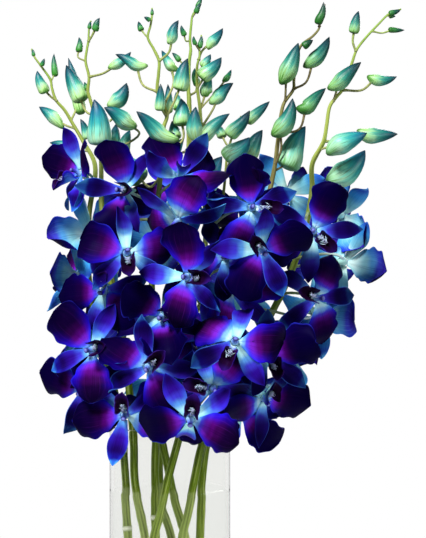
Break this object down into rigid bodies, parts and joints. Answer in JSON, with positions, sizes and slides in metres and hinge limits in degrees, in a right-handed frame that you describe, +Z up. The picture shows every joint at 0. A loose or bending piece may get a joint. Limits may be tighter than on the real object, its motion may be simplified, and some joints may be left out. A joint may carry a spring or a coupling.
{
  "type": "dendrobium orchid bouquet in glass vase",
  "caption": "Cut dendrobium orchid sprays with blue-violet blooms and green buds, standing in water in a straight glass cylinder vase.",
  "frame": {"origin": "middle of the vase's underside", "axes": "+Z up along the vase's axis; the bouquet's front faces -Y, +X to its right"},
  "size_m": [0.2903, 0.1958, 0.5397],
  "materials": {
    "glass": "clear, polished",
    "water": "still clear water",
    "green_stem": "living stems and buds, green to teal, satin",
    "bloom": "dyed petals, violet at the heart and blue at the edges, satin"
  },
  "bodies": {
    "root": {"bloom_01": "bloom", "bloom_02": "bloom", "bloom_03": "bloom", "bloom_04": "bloom", "bloom_05": "bloom", "bloom_06": "bloom", "bloom_07": "bloom", "bloom_08": "bloom", "bloom_09": "bloom", "bloom_10": "bloom", "bloom_11": "bloom", "bloom_12": "bloom", "bloom_13": "bloom", "bloom_14": "bloom", "bloom_15": "bloom", "bloom_16": "bloom", "bloom_17": "bloom", "bloom_18": "bloom", "bloom_19": "bloom", "bloom_20": "bloom", "bloom_21": "bloom", "bloom_22": "bloom", "bloom_23": "bloom", "bloom_24": "bloom", "bloom_25": "bloom", "bloom_26": "bloom", "bloom_27": "bloom", "bloom_28": "bloom", "bloom_29": "bloom", "bloom_30": "bloom", "bloom_31": "bloom", "bloom_32": "bloom", "bloom_33": "bloom", "bloom_34": "bloom", "bloom_36": "bloom", "bloom_37": "bloom", "bloom_38": "bloom", "bloom_39": "bloom", "bloom_40": "bloom", "bloom_41": "bloom", "bloom_42": "bloom", "bloom_43": "bloom", "bloom_44": "bloom", "bloom_45": "bloom", "bloom_46": "bloom", "bloom_47": "bloom", "bloom_48": "bloom", "bloom_49": "bloom", "spray_a": "green_stem", "spray_b": "green_stem", "spray_c": "green_stem", "spray_d": "green_stem", "spray_e": "green_stem", "spray_f": "green_stem", "spray_g": "green_stem", "spray_h": "green_stem", "vase": "glass", "water": "water"}
  },
  "joints": []
}
